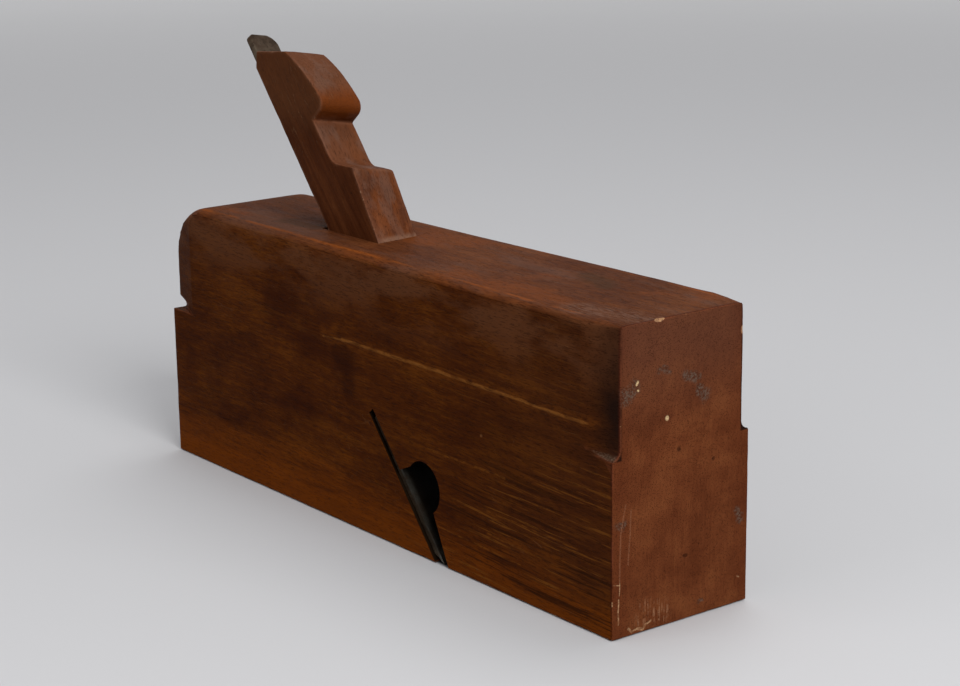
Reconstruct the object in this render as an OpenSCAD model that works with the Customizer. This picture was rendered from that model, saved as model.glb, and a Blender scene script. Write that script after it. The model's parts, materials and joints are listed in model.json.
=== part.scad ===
// Skew rabbet plane: a one-piece wooden stock, an iron bedded askew right across it, and the
// wooden wedge that holds the iron. All sizes are in millimetres.
// +X runs from heel to toe, +Y to the plane's left side, and +Z up from the sole. The origin
// is in the middle of the sole.
// A side view shows X and Z on the plane's right side, and the skewed cuts run from there.

/* [Stock] */
// Length of the stock from heel to toe
stock_l = 238; // [200:1:280]
// Width of the stock across the sole
stock_w = 52; // [44:1:60]
// Height of the stock from sole to top
stock_h = 90.5; // [84:0.5:100]
// Radius that softens the two long top edges
top_edge_r = 2; // [0.5:0.5:4]
// Radius of the round at the top of the heel
heel_r = 20; // [8:1:30]

/* [Stopped chamfers] */
// Length of each corner chamfer along the side
chamfer_l = 13.5; // [8:0.5:20]
// Depth of each corner chamfer on the end
chamfer_d = 2.9; // [1.5:0.1:5]
// Height above the sole at which the chamfers stop
chamfer_stop = 52.5; // [45:0.5:65]
// Radius of the gouge that ends the chamfers at the toe
gouge_r = 3; // [1.5:0.5:6]
// Extra depth of the notch that ends the chamfers at the heel
notch_d = 2.2; // [0.5:0.1:3]
// Radius of that notch
notch_r = 5; // [4:0.5:8]
// Distance along the chamfer at which that notch begins
notch_in = 1.5; // [0.5:0.5:4]

/* [Bed, slot and mouth] */
// Pitch of the bed, as the side of the stock shows it
pitch = 50; // [45:0.5:55]
// Skew of the mouth, whose right end leads
skew = 18; // [10:1:24]
// Distance from the toe back to the foot of the bed, on the right side
bed_from_toe = 83.2; // [75:0.1:95]
// Space left in the slot in front of the iron
slot_gap = 0.3; // [0.1:0.1:2]
// Height of the top of the slot on the right side
slot_top = 40.5; // [38:0.5:50]
// Length of the mouth along the sole, from the bed to the throat
mouth_l = 6.8; // [6:0.1:12]
// Slope of the throat ahead of the mouth
throat_slope = 65.5; // [60:0.5:75]

/* [Escapement] */
// Radius of the eye on the right side
eye_r = 8.3; // [7:0.1:11]
// Radius to which the eye widens on the left side
eye_left_r = 16; // [12:0.5:18]
// Height of the eye up the bed
eye_up = 20.8; // [18:0.1:24]
// Distance from the bed to the nearest point of the eye
eye_gap = 2.3; // [1.5:0.1:3]
// How much further up the bed the eye reaches where it joins the slot
eye_lift = 2; // [0:0.5:4]

/* [Iron] */
// Thickness of the iron
iron_t = 2.5; // [2:0.1:3.2]
// Length of the iron, measured up the bed from its foot on the right side
iron_l = 198; // [185:1:215]
// Inset of the blade from the right side of the stock
blade_inset = 1.4; // [0:0.1:2.5]
// Inset of the blade from the left side of the stock
blade_inset_left = 0.2; // [0:0.1:2.5]
// Space between the blade's shoulder and the top of the slot
shoulder_gap = 2; // [1:0.5:4]
// Angle to which the cutting edge is ground
grind = 28; // [22:1:35]
// Width of the tang
tang_w = 12.5; // [8:0.5:14]
// Sideways shift of the tang from the middle of the wedge
tang_shift = 1.4; // [0:0.1:1.5]
// Radius of the tang's right top corner
tang_r = 2; // [1:0.5:3]
// Radius of the tang's left top corner
tang_left_r = 5; // [2:0.5:5]
// Thickness of the steel laid on the blade's face
laid_t = 0.9; // [0.5:0.1:1.2]
// Length of the laid steel up the face
laid_l = 42; // [30:1:45]
// Length of the scarf that ends the laid steel
laid_scarf = 6; // [3:1:10]

/* [Wedge] */
// Width of the wedge
wedge_w = 16.3; // [14.5:0.1:18]
// Sideways shift of the wedge from the middle of the stock, towards the right side
wedge_shift = 2.2; // [0:0.05:4]
// Length of the wedge along the top of the stock, from back to front
wedge_run = 28.7; // [26:0.1:32]
// Angle between the back and the front of the wedge
wedge_taper = 8; // [6:0.5:9]
// Tilt of the cuts across the wedge, down towards its left side
wedge_tilt = 9.5; // [0:0.5:12]
// Height of the wedge's tip above the sole
tip_z = 31; // [28:0.5:36]
// Angle between the wedge's back and its lower end
tip_angle = 38; // [30:1:60]
// Flat left at the wedge's tip
tip_flat = 0.8; // [0.4:0.1:2]
// Height of the ledge above the stock
ledge_h = 22.5; // [18:0.5:26]
// Thickness of the neck
neck_t = 17; // [15:0.5:19]
// Radius of the cove between the neck and the ledge
cove_r = 6; // [2:0.5:8]
// Distance up the wedge from the stock's top to the underside of the head
head_up = 31.4; // [28:0.1:36]
// Length of the head up to its back corner
head_l = 36.6; // [32:0.1:42]
// Thickness of the head at its nose
head_t = 25.4; // [23:0.1:28]
// Radius of the nose
nose_r = 3.6; // [1.5:0.1:4]
// Radius of the long round above the nose
brow_r = 60; // [30:1:80]
// Distance up the head at which the long round meets the flat top
crown_up = 26.3; // [22:0.1:28]
// Thickness of the head where the long round meets the flat top
crown_t = 18.2; // [14:0.1:20]
// Width of the bevel on the head's back corner
back_bevel = 3.4; // [1:0.1:5]

/* [Fits] */
// Clearance round the wedge in its mortise
wedge_fit = 0.1; // [0.05:0.05:0.3]
// Clearance between each face of the iron and the wood
iron_fit = 0.05; // [0.05:0.05:0.2]

/* [Hidden] */
$fn = 96;

// Reach of the cutters past the stock
reach = 320;
end_x = stock_l / 2;
side_y = stock_w / 2;
bed_x = end_x - bed_from_toe;

// The skewed bed is a straight bed rolled sideways about its own slope
bed_roll = atan(sin(pitch) * tan(skew));
// Thickness of the slot square to the bed, and distances off the bed as the side view shows them
slot_t = iron_fit + iron_t + slot_gap;
slot_off = slot_t / cos(bed_roll);
back_off = iron_fit / cos(bed_roll);
face_off = back_off + iron_t / cos(bed_roll);
wedge_off = face_off + back_off;
laid_off = laid_t / cos(bed_roll);

// A point of the side view, given by its distances up the bed and off it
function on_bed(up, off) = [
    bed_x - up * cos(pitch) + off * sin(pitch),
    up * sin(pitch) + off * cos(pitch)
];
// Distance up the bed at which a line parallel to the bed reaches a height
function up_at(z, off) = (z - off * cos(pitch)) / sin(pitch);
// A point of the throat's front wall in the side view
function on_throat(z) = [bed_x + mouth_l - z / tan(throat_slope), z];
// Centre of the circle of radius r that passes through p and q, left of the way from p to q
function arc_centre(p, q, r) = let (d = q - p, l = norm(d))
    (p + q) / 2 + sqrt(r * r - l * l / 4) * [-d[1], d[0]] / l;

// Eye: its axis runs from the right side to the left side of the stock
eye_right_p = on_bed(eye_up, eye_r + eye_gap);
eye_left_p = on_bed(eye_up, eye_left_r + eye_gap);
eye_start = [eye_right_p[0], -side_y, eye_right_p[1]];
eye_end = [eye_left_p[0] - stock_w * tan(skew), side_y, eye_left_p[1]];
eye_line = eye_end - eye_start;
// The corner cut between the slot and the eye dips this far inside the eye
eye_dip = 0.3;

// Iron: places up the bed
slot_end = slot_top / sin(pitch);
shoulder = slot_end - shoulder_gap;
edge_up = up_at(0, face_off);
grind_run = (face_off - back_off) / tan(grind);
laid_run = laid_off / tan(grind);

// Wedge: its sides, and the point where its back meets the stock's top on its right side
wedge_right = -wedge_shift - wedge_w / 2;
wedge_left = wedge_right + wedge_w;
wedge_back_x = bed_x - (wedge_right + side_y) * tan(skew) + wedge_off / sin(pitch) - stock_h / tan(pitch);
// Places on the wedge's outline: first the distance off its back, then the distance up it
front_foot = [wedge_run * sin(pitch), -wedge_run * cos(pitch)];
function front_at(up) = front_foot[0] + (up - front_foot[1]) * tan(wedge_taper);
ledge_up = (ledge_h - cos(pitch) * front_at(0)) / (sin(pitch) + cos(pitch) * tan(wedge_taper));
ledge_front = [front_at(ledge_up), ledge_up];
cove_c = [neck_t + cove_r, up_at(ledge_h + cove_r, neck_t + cove_r)];
// The ledge ends this far inside the cove's round
cove_dip = 0.02;
cove_foot = cove_c - (cove_r - cove_dip) * [cos(pitch), sin(pitch)];
nose_c = [head_t - nose_r, head_up + nose_r];
nose_front = [head_t, nose_c[1]];
crown = [crown_t, head_up + crown_up];
back_corner = [back_bevel, head_up + head_l];
brow_c = arc_centre(nose_front, crown, brow_r);
// How far the wedge's outline is drawn behind its back, for the skewed face to trim
behind = stock_w;
mortise_in = (stock_h - eye_start[2]) / sin(pitch);

// Everything between two upright planes along the plane
module between(y0, y1) {
    translate([-reach, y0, -reach])
        cube([2 * reach, y1 - y0, 2 * reach]);
}

// A cut or a solid that runs askew across the stock, drawn as the right side shows it
module askew(points) {
    translate([0, -side_y, 0])
        rotate([0, 0, skew])
            rotate([90, 0, 0])
                linear_extrude(2 * reach, center = true)
                    polygon([for (p = points) [p[0] * cos(skew), p[1]]]);
}

// The wedge's outline, run across it along its tilted cuts
module across_wedge() {
    translate([wedge_back_x, wedge_right, stock_h])
        rotate([-wedge_tilt, 0, 0])
            rotate([0, pitch - 90, 0])
                rotate([90, 0, 0])
                    linear_extrude(2 * reach, center = true)
                        children();
}

// Blank of the stock: square edged below, soft edged on top, round at the heel
module blank() {
    intersection() {
        rotate([90, 0, 0])
            linear_extrude(2 * stock_w, center = true) {
                translate([-end_x, 0])
                    square([stock_l, stock_h - heel_r]);
                translate([heel_r - end_x, 0])
                    square([stock_l - heel_r, stock_h]);
                translate([heel_r - end_x, stock_h - heel_r])
                    circle(heel_r);
            }
        rotate([90, 0, 90])
            linear_extrude(2 * stock_l, center = true) {
                translate([-side_y, 0])
                    square([stock_w, stock_h - top_edge_r]);
                translate([top_edge_r - side_y, 0])
                    square([stock_w - 2 * top_edge_r, stock_h]);
                for (side = [-1, 1])
                    translate([side * (side_y - top_edge_r), stock_h - top_edge_r])
                        circle(top_edge_r);
            }
    }
}

// Places a corner cut on the right corner of the toe, x along the chamfer and y into the wood
module at_corner() {
    translate([end_x - chamfer_l, -side_y, 0])
        rotate([0, 0, atan(chamfer_d / chamfer_l)])
            children();
}

// Chamfer of a toe corner, ended by a gouge
module toe_chamfer() {
    at_corner() {
        translate([-chamfer_l, -stock_w, chamfer_stop + gouge_r])
            cube([3 * chamfer_l, stock_w, stock_h]);
        translate([-chamfer_l, -stock_w, chamfer_stop])
            cube([3 * chamfer_l, stock_w - gouge_r, stock_h]);
        translate([-chamfer_l, -gouge_r, chamfer_stop + gouge_r])
            rotate([0, 90, 0])
                cylinder(h = 3 * chamfer_l, r = gouge_r);
    }
}

// Chamfer of a heel corner, ended by a deeper round notch above a flat ledge
module heel_chamfer() {
    mirror([1, 0, 0])
        at_corner() {
            translate([-chamfer_l, -stock_w, chamfer_stop])
                cube([3 * chamfer_l, stock_w, stock_h]);
            translate([notch_in, 0, 0])
                rotate([0, 0, atan(notch_d / (chamfer_l - notch_in))])
                    intersection() {
                        translate([-chamfer_l, -notch_r, chamfer_stop])
                            rotate([0, 90, 0])
                                cylinder(h = 3 * chamfer_l, r = notch_r);
                        translate([-chamfer_l, -stock_w, chamfer_stop])
                            cube([3 * chamfer_l, 2 * stock_w, stock_h]);
                    }
        }
}

// All that lies in front of the bed
module before_bed() {
    intersection() {
        children();
        askew([on_bed(-reach, 0), on_bed(-reach, reach), on_bed(reach, reach), on_bed(reach, 0)]);
    }
}

// Slot for the blade, with the mouth and the throat below it and the eye's corner cut away.
// It is open at both sides and at the sole, and the bed ends it at the back
module slot() {
    eye_off = eye_r + eye_gap;
    corner_up = eye_up + eye_r;
    below = -mouth_l / 2;
    askew([
        on_bed(up_at(below, 0), -slot_t),
        on_bed(up_at(below, 0), 0),
        on_throat(below),
        on_throat(eye_start[2]),
        on_bed(eye_up, eye_off),
        on_bed(corner_up - eye_dip, eye_off),
        on_bed(corner_up + eye_lift, slot_off),
        on_bed(slot_end, slot_off),
        on_bed(slot_end, -slot_t)
    ]);
}

// Eye: a cone that widens towards the left side
module eye() {
    overrun = 0.1;
    widening = eye_left_r - eye_r;
    translate(eye_start - overrun * eye_line)
        rotate([0, acos(eye_line[2] / norm(eye_line)), atan2(eye_line[1], eye_line[0])])
            cylinder(
                h = (1 + 2 * overrun) * norm(eye_line),
                r1 = eye_r - overrun * widening,
                r2 = eye_left_r + overrun * widening
            );
}

// Mortise for the wedge and the tang, from the stock's top down into the eye. The bed is its back
module mortise() {
    top = stock_h / 2;
    intersection() {
        between(wedge_right - wedge_fit, wedge_left + wedge_fit);
        across_wedge()
            polygon([
                [-behind, -mortise_in],
                [front_at(-mortise_in) + wedge_fit, -mortise_in],
                [front_at(top) + wedge_fit, top],
                [-behind, top]
            ]);
    }
}

// Outline of the tang, x across the iron and y up it. Its foot is inside the skewed blade
module tang_outline() {
    middle = (side_y - wedge_shift + tang_shift) / cos(bed_roll);
    translate([middle - tang_w / 2, 0]) {
        translate([0, shoulder])
            square([tang_w, iron_l - tang_left_r - shoulder]);
        translate([0, iron_l - tang_left_r])
            square([tang_w - tang_left_r, tang_left_r - tang_r]);
        translate([tang_r, iron_l - tang_left_r])
            square([tang_w - tang_r - tang_left_r, tang_left_r]);
        translate([tang_r, iron_l - tang_r])
            circle(tang_r);
        translate([tang_w - tang_left_r, iron_l - tang_left_r])
            circle(tang_left_r);
    }
}

// Outline of the wedge, x off its back and y up it
module wedge_outline() {
    difference() {
        polygon([
            [-behind, -reach],
            [front_at(-reach), -reach],
            ledge_front,
            cove_foot,
            cove_c,
            [neck_t, cove_c[1]],
            [neck_t, nose_c[1]],
            [-behind, nose_c[1]]
        ]);
        translate(cove_c)
            circle(cove_r);
    }
    intersection() {
        polygon([
            [-behind, head_up],
            [nose_c[0], head_up],
            nose_front,
            [head_t, crown[1]],
            crown,
            back_corner,
            back_corner - [behind, behind]
        ]);
        translate(brow_c)
            circle(brow_r);
    }
    translate(nose_c)
        circle(nose_r);
}

// Stock: one block of beech, chamfered, slotted and mortised, then bored for the eye
module stock() {
    color([0.42, 0.24, 0.13])
        difference() {
            difference() {
                blank();
                for (side = [0, 1])
                    mirror([0, side, 0]) {
                        toe_chamfer();
                        heel_chamfer();
                    }
                before_bed()
                    slot();
                before_bed()
                    mortise();
            }
            eye();
        }
}

// Plan of the iron: the blade up to its skewed shoulder, and the tang above it
module iron_plan() {
    intersection() {
        between(blade_inset - side_y, side_y - blade_inset_left);
        askew([
            on_bed(-iron_t, -iron_t),
            on_bed(shoulder, -iron_t),
            on_bed(shoulder, 2 * iron_t),
            on_bed(-iron_t, 2 * iron_t)
        ]);
    }
    translate([bed_x, -side_y, 0])
        rotate([0, pitch - 90, 0])
            rotate([0, 0, bed_roll])
                rotate([90, 0, 90])
                    translate([0, 0, -iron_t])
                        linear_extrude(3 * iron_t)
                            tang_outline();
}

// Iron: the forged body of the iron, let down to take the laid steel, and ground at its edge
module iron() {
    color([0.33, 0.31, 0.28])
        intersection() {
            iron_plan();
            askew([
                on_bed(edge_up + laid_run, face_off - laid_off),
                on_bed(edge_up + grind_run, back_off),
                on_bed(reach, back_off),
                on_bed(reach, face_off),
                on_bed(laid_l, face_off),
                on_bed(laid_l - laid_scarf, face_off - laid_off)
            ]);
        }
}

// Laid steel: the hard plate welded to the face of the blade, ground to the cutting edge
module laid_steel() {
    color([0.5, 0.5, 0.5])
        intersection() {
            between(blade_inset - side_y, side_y - blade_inset_left);
            askew([
                on_bed(edge_up, face_off),
                on_bed(edge_up + laid_run, face_off - laid_off),
                on_bed(laid_l - laid_scarf, face_off - laid_off),
                on_bed(laid_l, face_off)
            ]);
        }
}

// Wedge: it lies on the iron's face and bears on the front of the mortise
module wedge() {
    tip_up = up_at(tip_z, wedge_off);
    far_off = wedge_off + tip_flat + reach;
    color([0.52, 0.29, 0.15])
        intersection() {
            between(wedge_right, wedge_left);
            across_wedge()
                wedge_outline();
            askew([
                on_bed(tip_up, wedge_off),
                on_bed(tip_up, wedge_off + tip_flat),
                on_bed(tip_up + reach / tan(tip_angle), far_off),
                on_bed(2 * reach, far_off),
                on_bed(2 * reach, wedge_off)
            ]);
        }
}

stock();
iron();
laid_steel();
wedge();
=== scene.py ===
import json
import math

import bmesh
import bpy
import numpy as np
from mathutils import Matrix, Vector


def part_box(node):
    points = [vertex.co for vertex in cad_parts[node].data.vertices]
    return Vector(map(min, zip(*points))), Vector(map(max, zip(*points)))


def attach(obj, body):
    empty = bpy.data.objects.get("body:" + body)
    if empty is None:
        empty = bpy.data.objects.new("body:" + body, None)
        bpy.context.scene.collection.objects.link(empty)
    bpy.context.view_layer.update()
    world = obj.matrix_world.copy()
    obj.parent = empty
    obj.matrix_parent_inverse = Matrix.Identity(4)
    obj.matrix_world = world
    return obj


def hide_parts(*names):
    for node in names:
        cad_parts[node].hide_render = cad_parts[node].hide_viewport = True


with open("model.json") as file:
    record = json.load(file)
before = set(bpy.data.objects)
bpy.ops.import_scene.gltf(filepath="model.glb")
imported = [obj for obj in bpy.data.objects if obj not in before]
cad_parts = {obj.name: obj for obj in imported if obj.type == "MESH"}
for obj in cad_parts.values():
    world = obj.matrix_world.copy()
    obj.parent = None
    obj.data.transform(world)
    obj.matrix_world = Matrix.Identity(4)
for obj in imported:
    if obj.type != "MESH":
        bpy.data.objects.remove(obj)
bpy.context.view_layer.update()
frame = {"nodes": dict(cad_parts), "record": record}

# The stock
# One block of beech, planed square, chamfered at its corners and cut askew for the iron, then
# oiled. Its edges are rubbed round by use, and small chips are knocked out of them.
stock_low, stock_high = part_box("stock")
stock_top = stock_high.z
stock_side = stock_high.y
stock_end = stock_high.x
# The stopped chamfers on the upright corners, the round of the heel, how far from the middle
# the cuts for the iron and the wedge reach, how near to an outer face an edge counts as on it,
# and the angles from which an edge is rounded and is drawn sharp
chamfer_length = 0.0135
chamfer_depth = 0.0029
chamfer_foot = 0.0525
heel_round = 0.020
cuts_reach = 0.1
edge_near = 0.0006
sharp_angle = math.radians(28)
smooth_angle = math.radians(40)


def only(piece):
    """Selects one piece alone and makes it the active one."""
    bpy.ops.object.select_all(action="DESELECT")
    piece.select_set(True)
    bpy.context.view_layer.objects.active = piece


def whole_copy(name, node):
    """A copy of a node's mesh, with its loose triangles merged into whole faces."""
    source = frame["nodes"][node]
    mesh = source.data.copy()
    mesh.transform(source.matrix_world)
    mesh.materials.clear()
    piece = bpy.data.objects.new(name, mesh)
    bpy.context.scene.collection.objects.link(piece)
    only(piece)
    bpy.ops.mesh.customdata_custom_splitnormals_clear()
    bpy.ops.object.mode_set(mode="EDIT")
    bpy.ops.mesh.select_all(action="SELECT")
    bpy.ops.mesh.remove_doubles(threshold=2e-6)
    bpy.ops.mesh.dissolve_limited(angle_limit=math.radians(1))
    bpy.ops.object.mode_set(mode="OBJECT")
    return piece


def soften(piece, width, share_at):
    """Rounds each sharp edge by a share of a width, and gives back the ends of those edges."""
    shape = bmesh.new()
    shape.from_mesh(piece.data)
    share = shape.edges.layers.float.new("bevel_weight_edge")
    ends = []
    for edge in shape.edges:
        if len(edge.link_faces) == 2 and edge.calc_face_angle() > sharp_angle:
            first, last = edge.verts[0].co.copy(), edge.verts[1].co.copy()
            edge[share] = share_at((first + last) / 2)
            ends.append((first, last))
    shape.to_mesh(piece.data)
    shape.free()
    bevel = piece.modifiers.new("soften", "BEVEL")
    bevel.limit_method = "WEIGHT"
    bevel.width = width
    bevel.segments = 3
    bevel.use_clamp_overlap = False
    only(piece)
    bpy.ops.object.modifier_apply(modifier=bevel.name)
    return ends


def score(piece, along, step, extra=()):
    """Cuts the faces across at even steps along a direction, and at extra places on it."""
    places = [along.dot(corner.co) for corner in piece.data.vertices]
    low, high = min(places), max(places)
    count = round((high - low) / step)
    cuts = [low + (high - low) * number / count for number in range(1, count)]
    only(piece)
    bpy.ops.object.mode_set(mode="EDIT")
    for place in (*cuts, *extra):
        bpy.ops.mesh.select_all(action="SELECT")
        bpy.ops.mesh.bisect(plane_co=along * place, plane_no=along)
    bpy.ops.object.mode_set(mode="OBJECT")


def points_of(piece):
    """The places of a mesh's points."""
    points = np.empty(3 * len(piece.data.vertices))
    piece.data.vertices.foreach_get("co", points)
    return points.reshape(-1, 3)


def note_edge_gap(piece, ends):
    """Writes on each point of the mesh how far it lies from the nearest edge."""
    points = points_of(piece)
    gap = np.ones(len(points))
    for first, last in ends:
        start, way = np.array(first), np.array(last - first)
        share = np.clip((points - start) @ way / (way @ way), 0, 1)
        gap = np.minimum(gap, np.linalg.norm(points - start - share[:, None] * way, axis=1))
    piece.data.attributes.new("edge_gap", "FLOAT", "POINT").data.foreach_set("value", gap)
    return gap


def rub(piece, node, gap, depth, reach, wave):
    """Wears a piece away unevenly, by up to a depth, out to a reach, and keeps it in its node's box."""
    worn = piece.vertex_groups.new(name="worn")
    for number in np.nonzero(gap < reach)[0]:
        worn.add([int(number)], 1 - gap[number] / reach, "REPLACE")
    texture = bpy.data.textures.new(piece.name + "_wear", "CLOUDS")
    texture.noise_scale = wave
    displace = piece.modifiers.new("rub", "DISPLACE")
    displace.texture = texture
    displace.texture_coords = "LOCAL"
    displace.vertex_group = worn.name
    displace.mid_level = 0
    displace.strength = -depth
    only(piece)
    bpy.ops.object.modifier_apply(modifier=displace.name)
    piece.vertex_groups.clear()
    low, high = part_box(node)
    held = np.clip(points_of(piece), np.array(low), np.array(high))
    piece.data.vertices.foreach_set("co", held.ravel())
    piece.data.update()


def chip(piece, places, fresh):
    """Knocks chips out of a piece: each has a place, and its half length, width and depth."""
    lumps = []
    for number, (place, half) in enumerate(places):
        bpy.ops.object.select_all(action="DESELECT")
        bpy.ops.mesh.primitive_ico_sphere_add(subdivisions=2, radius=1)
        lump = bpy.context.object
        turn = Matrix.Rotation(0.9 + 2.4 * number, 4, Vector((1, 1.7, 0.6)).normalized())
        lump.data.transform(Matrix.Translation(place) @ Matrix.Diagonal((*half, 1)) @ turn)
        lump.data.materials.append(fresh)
        lumps.append(lump)
    for lump in lumps:
        lump.select_set(True)
    bpy.ops.object.join()
    cutter = bpy.context.object
    cut = piece.modifiers.new("chips", "BOOLEAN")
    cut.operation = "DIFFERENCE"
    cut.solver = "EXACT"
    cut.material_mode = "TRANSFER"
    cut.object = cutter
    only(piece)
    bpy.ops.object.modifier_apply(modifier=cut.name)
    bpy.data.objects.remove(cutter)


def shade(piece):
    """Shades the rounded edges smooth and keeps the broad faces flat."""
    only(piece)
    bpy.ops.object.shade_smooth_by_angle(angle=smooth_angle)
    normals = piece.modifiers.new("normals", "WEIGHTED_NORMAL")
    normals.keep_sharp = True
    bpy.ops.object.modifier_apply(modifier=normals.name)


def finish_of(name):
    """A new material, its nodes, its shader, and the place and facing of a point of the piece."""
    material = bpy.data.materials.new(name)
    material.use_nodes = True
    tree = material.node_tree
    point = tree.nodes.new("ShaderNodeTexCoord")
    return material, tree, tree.nodes["Principled BSDF"], point.outputs["Object"], point.outputs["Normal"]


def plug(tree, value, socket):
    """Sets a socket to a value, or joins it to another node's output."""
    if isinstance(value, bpy.types.NodeSocket):
        tree.links.new(value, socket)
    else:
        socket.default_value = value


def put(tree, kind, *values, out=0, **settings):
    """Adds a node, fills its first sockets in order, and gives back one output."""
    node = tree.nodes.new("ShaderNode" + kind)
    for name, value in settings.items():
        setattr(node, name, value)
    for value, socket in zip(values, node.inputs):
        plug(tree, value, socket)
    return node.outputs[out]


def times(tree, *values):
    """The product of several values."""
    product = values[0]
    for value in values[1:]:
        product = put(tree, "Math", product, value, operation="MULTIPLY")
    return product


def plus(tree, *parts):
    """The sum of several values, each after its weight."""
    total = 0.0
    for weight, value in parts:
        total = put(tree, "Math", value, weight, total, operation="MULTIPLY_ADD")
    return total


def most(tree, values):
    """The largest of several values."""
    largest = values[0]
    for value in values[1:]:
        largest = put(tree, "Math", largest, value, operation="MAXIMUM")
    return largest


def least(tree, values):
    """The smallest of several values."""
    smallest = values[0]
    for value in values[1:]:
        smallest = put(tree, "Math", smallest, value, operation="MINIMUM")
    return smallest


def axes_of(tree, vector):
    """The three parts of a vector."""
    node = tree.nodes.new("ShaderNodeSeparateXYZ")
    tree.links.new(vector, node.inputs[0])
    return node.outputs


def size_of(tree, value):
    """A value without its sign."""
    return put(tree, "Math", value, operation="ABSOLUTE")


def rise(tree, value, low, high):
    """Goes smoothly from 0 at low to 1 at high, which may lie below low."""
    node = tree.nodes.new("ShaderNodeMapRange")
    node.interpolation_type = "SMOOTHSTEP"
    plug(tree, value, node.inputs["Value"])
    node.inputs["From Min"].default_value = min(low, high)
    node.inputs["From Max"].default_value = max(low, high)
    node.inputs["To Min"].default_value = 0 if low < high else 1
    node.inputs["To Max"].default_value = 1 if low < high else 0
    return node.outputs[0]


def figure(tree, place, waves, shift=0.0, detail=3.0, out=0):
    """Noise with so many waves to the metre along each axis, moved along by a shift."""
    drawn = put(tree, "VectorMath", place, waves, operation="MULTIPLY")
    moved = put(tree, "VectorMath", drawn, (shift, 2 * shift, 3 * shift), operation="ADD")
    node = tree.nodes.new("ShaderNodeTexNoise")
    tree.links.new(moved, node.inputs["Vector"])
    node.inputs["Scale"].default_value = 1
    node.inputs["Detail"].default_value = detail
    node.inputs["Roughness"].default_value = 0.6
    return node.outputs[out]


def over(tree, share, under, colour):
    """One colour laid over another, by a share from 0 to 1."""
    node = tree.nodes.new("ShaderNodeMix")
    node.data_type = "RGBA"
    node.clamp_factor = True
    plug(tree, share, node.inputs[0])
    plug(tree, under if isinstance(under, bpy.types.NodeSocket) else (*under, 1), node.inputs[6])
    plug(tree, colour if isinstance(colour, bpy.types.NodeSocket) else (*colour, 1), node.inputs[7])
    return node.outputs[2]


def colours(tree, value, *stops):
    """Colours along a scale: each stop is a place from 0 to 1 and a colour."""
    node = tree.nodes.new("ShaderNodeValToRGB")
    plug(tree, value, node.inputs[0])
    scale = node.color_ramp.elements
    while len(scale) < len(stops):
        scale.new(0.5)
    for stop, (place, colour) in zip(scale, stops):
        stop.position = place
        stop.color = (*colour, 1)
    return node.outputs[0]


def wandered(tree, place, waves, width):
    """The place moved about by a slow noise, so that what is drawn on it runs wavy."""
    noise = figure(tree, place, waves, detail=2.0, out=1)
    centred = put(tree, "VectorMath", noise, (0.5, 0.5, 0.5), operation="SUBTRACT")
    moved = put(tree, "VectorMath", centred, (width, width, width), operation="MULTIPLY")
    return put(tree, "VectorMath", place, moved, operation="ADD")


def stroke(tree, place, start, end, half_width):
    """1 on the line between two points and 0 past its half width."""
    way = Vector(end) - Vector(start)
    from_start = put(tree, "VectorMath", place, start, operation="SUBTRACT")
    along = put(tree, "VectorMath", from_start, way / way.length_squared, operation="DOT_PRODUCT", out=1)
    held = put(tree, "Clamp", along)
    node = tree.nodes.new("ShaderNodeVectorMath")
    node.operation = "SCALE"
    node.inputs[0].default_value = way
    tree.links.new(held, node.inputs["Scale"])
    gap = put(tree, "VectorMath", from_start, node.outputs[0], operation="DISTANCE", out=1)
    return rise(tree, gap, half_width, half_width / 3)


def strokes(tree, place, marks, at):
    """1 on any of several strokes, each a start and an end on a face, and a half width."""
    return most(tree, [stroke(tree, place, at(*start), at(*end), width) for start, end, width in marks])


def hairlines(tree, place, waves, shift, share):
    """Thin long scratches, here and there."""
    noise = figure(tree, place, waves, shift, detail=1.0)
    off = size_of(tree, put(tree, "Math", noise, 0.5, operation="SUBTRACT"))
    patches = rise(tree, figure(tree, place, (25, 25, 25), shift), share, share + 0.06)
    return times(tree, rise(tree, off, 0.006, 0.0015), patches)


def specks(tree, place, cells, radius, shift):
    """Small round marks, one to a cell, with so many cells to the metre."""
    moved = put(tree, "VectorMath", place, (shift, 2 * shift, 3 * shift), operation="ADD")
    node = tree.nodes.new("ShaderNodeTexVoronoi")
    tree.links.new(moved, node.inputs["Vector"])
    node.inputs["Scale"].default_value = cells
    return rise(tree, node.outputs["Distance"], radius * cells, radius * cells / 2)


def relief(tree, shader, depth, *layers):
    """Sums layers of height, each after its share of the depth in metres, into the shader's bump."""
    bump = tree.nodes.new("ShaderNodeBump")
    bump.inputs["Strength"].default_value = 1
    bump.inputs["Distance"].default_value = depth
    tree.links.new(plus(tree, *layers), bump.inputs["Height"])
    tree.links.new(bump.outputs[0], shader.inputs["Normal"])


def edge_gap_of(tree):
    """How far a point lies from the nearest edge, in metres."""
    node = tree.nodes.new("ShaderNodeAttribute")
    node.attribute_name = "edge_gap"
    return node.outputs["Fac"]


def on_side(x, z):
    """A point of the stock's right side, from its place along and up it in millimetres."""
    return (x / 1000, -stock_side, z / 1000)


def on_toe(y, z):
    """A point of the stock's toe, from its place across and up it in millimetres."""
    return (stock_end, y / 1000, z / 1000)


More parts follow.
